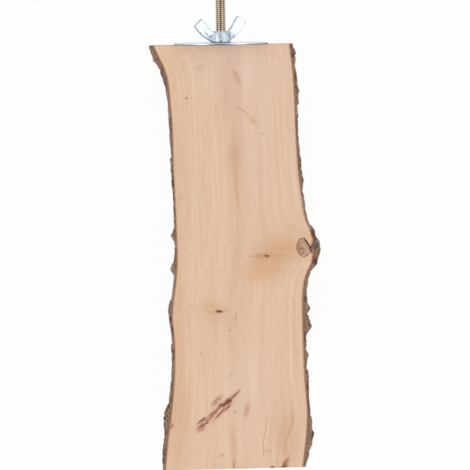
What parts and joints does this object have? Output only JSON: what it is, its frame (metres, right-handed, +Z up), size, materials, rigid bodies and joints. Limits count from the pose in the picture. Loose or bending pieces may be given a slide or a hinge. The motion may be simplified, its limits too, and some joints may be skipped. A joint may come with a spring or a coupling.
{
  "type": "bird perch",
  "caption": "Live-edge wooden perch board for a bird cage, clamped to the bars by a threaded stud, a broad washer and a wing nut.",
  "frame": {"origin": "centre of the board's sawn cage end, on the stud's axis, where the cage wall is gripped", "axes": "+Y out along the stud, away from the board; +X to the edge with the knot; +Z up, out of the perching face"},
  "size_m": [0.1083, 0.2991, 0.06],
  "materials": {
    "sawn_wood": "sanded, bare",
    "bark": "rough natural bark",
    "knot_wood": "sanded dead knot",
    "yellow_zinc": "steel with yellow zinc plate",
    "bright_zinc": "steel with bright zinc plate"
  },
  "bodies": {
    "perch": {"board": "sawn_wood", "left_bark": "bark", "right_bark": "bark", "knot": "knot_wood", "hanger_bolt": "yellow_zinc"},
    "clamp_washer": {"washer": "bright_zinc"},
    "clamp_nut": {"wing_nut": "bright_zinc"}
  },
  "joints": [
    {"name": "washer_slide", "type": "slide", "parent": "perch", "child": "clamp_washer", "axis": [0, 1, 0], "range_m": [0, 0.0254]},
    {"name": "nut_turn", "type": "hinge", "parent": "clamp_washer", "child": "clamp_nut", "pos_m": [0, 0.005, 0], "axis": [0, 1, 0], "range_deg": [0, 7200]}
  ],
  "couplings": [
    {"joint": "nut_turn", "follows": "washer_slide", "rad_per_m": 4947.4}
  ]
}
